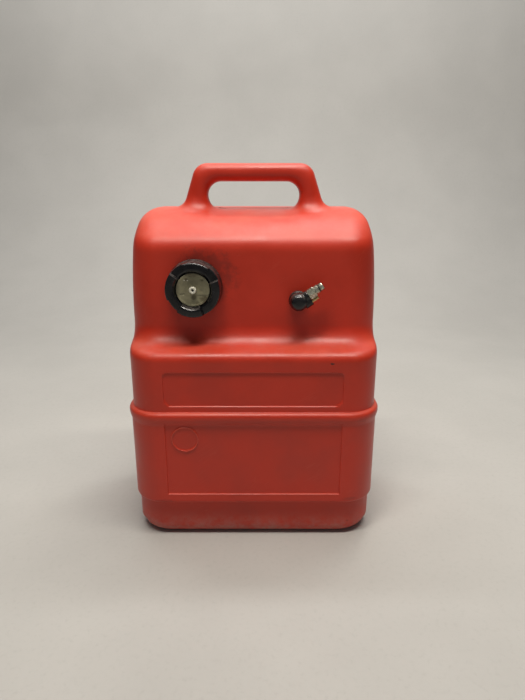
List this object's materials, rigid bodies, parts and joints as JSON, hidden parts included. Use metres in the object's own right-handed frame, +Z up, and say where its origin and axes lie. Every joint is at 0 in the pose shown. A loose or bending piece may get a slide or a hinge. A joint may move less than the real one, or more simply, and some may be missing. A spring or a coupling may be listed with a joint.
{
  "type": "portable fuel tank",
  "caption": "Upright moulded plastic fuel tank with a carry handle, a vented screw cap and a swivelling outlet with a quick-connect nipple.",
  "frame": {"origin": "on the floor, under the middle of the bounding box", "axes": "+Z up, the front with cap and outlet faces -Y, +X to the viewer's right"},
  "size_m": [0.357, 0.215, 0.524],
  "materials": {
    "red_polyethylene": "blow-moulded polyethylene, semi-gloss, scuffed",
    "black_nylon": "moulded black plastic, dusty",
    "olive_disc": "fuel-stained cream plastic",
    "pale_nylon": "natural nylon",
    "black_rubber": "nitrile rubber",
    "plated_steel": "dull plated steel, lightly corroded",
    "spring_steel": "drawn spring wire and strip",
    "brass": "tarnished brass",
    "brass_gauze": "woven brass gauze"
  },
  "bodies": {
    "tank": {"tank_shell": "red_polyethylene", "pickup_gasket": "black_rubber", "pickup_bushing": "black_nylon", "swivel_nut": "black_nylon", "pickup_tube": "black_nylon", "tube_clamp": "spring_steel", "strainer_body": "black_nylon", "strainer_mesh": "brass_gauze"},
    "cap_seal": {"cap_gasket": "black_rubber"},
    "cap": {"cap_shell": "black_nylon", "cap_disc": "olive_disc", "vent_stem": "pale_nylon", "vent_cage": "black_nylon", "vent_spring": "spring_steel"},
    "vent_valve": {"vent_poppet": "black_rubber"},
    "outlet": {"elbow": "black_nylon", "elbow_o_ring": "black_rubber", "connector_nipple": "plated_steel", "connector_seal": "black_rubber", "guide_pin": "brass", "check_seat": "brass", "check_spring": "spring_steel"},
    "check_valve": {"check_plunger": "brass"}
  },
  "joints": [
    {"name": "cap_rise", "type": "slide", "parent": "tank", "child": "cap_seal", "axis": [0, -1, 0], "range_m": [0, 0.0106]},
    {"name": "cap_unscrew", "type": "hinge", "parent": "cap_seal", "child": "cap", "pos_m": [-0.0786, -0.0615, 0.3625], "axis": [0, -1, 0], "range_deg": [0, 630]},
    {"name": "vent_press", "type": "slide", "parent": "cap", "child": "vent_valve", "axis": [0, 1, 0], "range_m": [0, 0.002], "stiffness_N_per_m": 300, "springref_m": -0.003, "deforming": ["vent_spring"]},
    {"name": "outlet_swivel", "type": "hinge", "parent": "tank", "child": "outlet", "pos_m": [0.0605, -0.0615, 0.3455], "axis": [0, -1, 0], "continuous": true},
    {"name": "check_push", "type": "slide", "parent": "outlet", "child": "check_valve", "axis": [-0.8141, 0, -0.5807], "range_m": [0, 0.0025], "stiffness_N_per_m": 300, "springref_m": -0.003, "deforming": ["check_spring"]}
  ],
  "couplings": [
    {"joint": "cap_rise", "follows": "cap_unscrew", "m_per_rad": 0.00095493}
  ]
}
